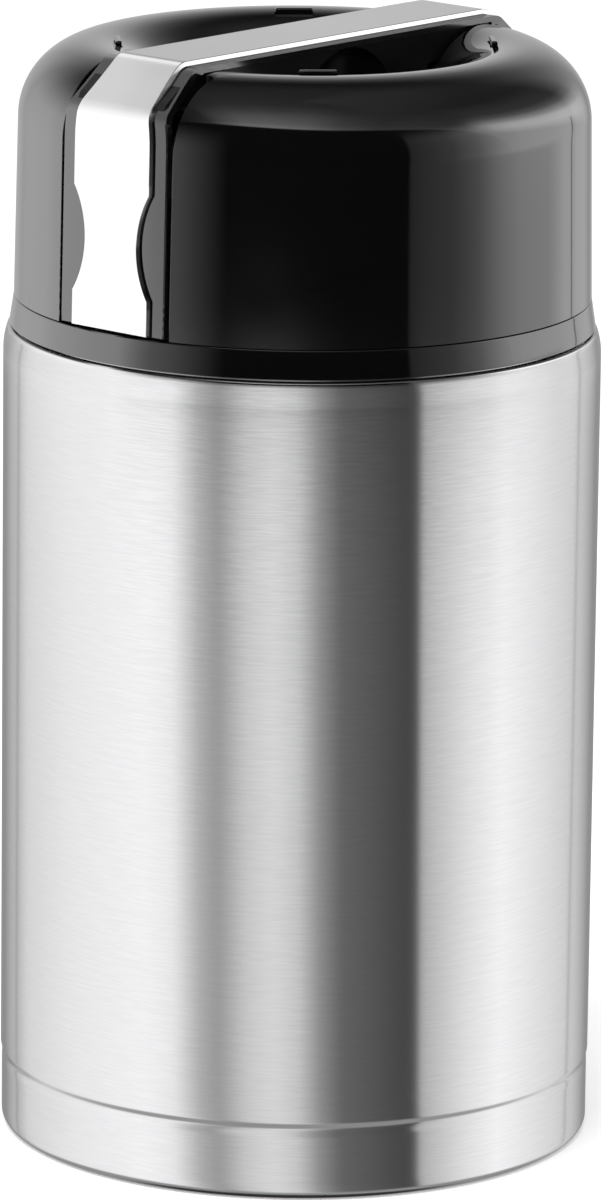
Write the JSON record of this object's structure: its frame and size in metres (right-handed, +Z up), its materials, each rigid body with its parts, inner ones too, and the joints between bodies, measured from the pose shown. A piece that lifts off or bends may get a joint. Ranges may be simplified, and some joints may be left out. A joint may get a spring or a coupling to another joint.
{
  "type": "insulated food jar",
  "caption": "Double-walled steel food jar with a screw-in stopper, and a black domed screw lid with a finger dish under a chrome bridge handle.",
  "frame": {"origin": "centre of the foot, on the surface the jar stands on", "axes": "+Z up along the jar; the handle's bar lies along X"},
  "size_m": [0.102, 0.102, 0.191],
  "materials": {
    "brushed_shell": "fine brushing round the body, satin sheen",
    "satin_vessel": "electropolished satin",
    "braze_bead": "dull sealing bead",
    "getter": "sintered",
    "foam": "closed-cell foam",
    "silicone": "matt translucent white",
    "stopper_plastic": "fine matt",
    "button_plastic": "fine matt",
    "liner_plastic": "fine matt",
    "gloss_black": "high gloss",
    "frame_black": "semi gloss",
    "chrome": "bright plated",
    "spring_wire": "bright wire"
  },
  "bodies": {
    "jar": {"outer_shell": "brushed_shell", "inner_vessel": "satin_vessel", "base_plate": "satin_vessel", "vacuum_plug": "braze_bead", "getter_cup": "satin_vessel", "getter_pellet": "getter"},
    "stopper_lifter": {"stopper_foam": "foam"},
    "stopper_riser": {"stopper_gasket": "silicone"},
    "stopper": {"stopper_body": "stopper_plastic", "stopper_bottom": "stopper_plastic", "vent_bezel": "chrome", "vent_spring": "spring_wire"},
    "vent": {"vent_button": "button_plastic", "vent_stem": "stopper_plastic", "vent_seal": "silicone"},
    "lid_lifter": {"lid_foam": "foam"},
    "lid_riser": {"lid_seal": "silicone"},
    "lid": {"lid_shell": "gloss_black", "lid_base_ring": "gloss_black", "lid_liner": "liner_plastic", "lid_dish": "gloss_black", "handle_frame": "frame_black", "handle_plate": "chrome", "handle_screws": "spring_wire"}
  },
  "joints": [
    {"name": "stopper_lift", "type": "slide", "parent": "jar", "child": "stopper_lifter", "axis": [0, 0, 1], "range_m": [0, 0.12]},
    {"name": "stopper_rise", "type": "slide", "parent": "stopper_lifter", "child": "stopper_riser", "axis": [0, 0, 1], "range_m": [0, 0.005]},
    {"name": "stopper_turn", "type": "hinge", "parent": "stopper_riser", "child": "stopper", "pos_m": [0, 0, 0.14], "axis": [0, 0, 1], "range_deg": [0, 360]},
    {"name": "vent_press", "type": "slide", "parent": "stopper", "child": "vent", "axis": [0, 0, -1], "range_m": [0, 0.0015], "stiffness_N_per_m": 400, "springref_m": -0.003, "deforming": ["vent_spring"]},
    {"name": "lid_lift", "type": "slide", "parent": "stopper_riser", "child": "lid_lifter", "axis": [0, 0, 1], "range_m": [0, 0.06]},
    {"name": "lid_rise", "type": "slide", "parent": "lid_lifter", "child": "lid_riser", "axis": [0, 0, 1], "range_m": [0, 0.005]},
    {"name": "lid_turn", "type": "hinge", "parent": "lid_riser", "child": "lid", "pos_m": [0, 0, 0.15], "axis": [0, 0, 1], "range_deg": [0, 360]}
  ],
  "couplings": [
    {"joint": "stopper_rise", "follows": "stopper_turn", "m_per_rad": 0.00079577},
    {"joint": "lid_rise", "follows": "lid_turn", "m_per_rad": 0.00079577}
  ]
}
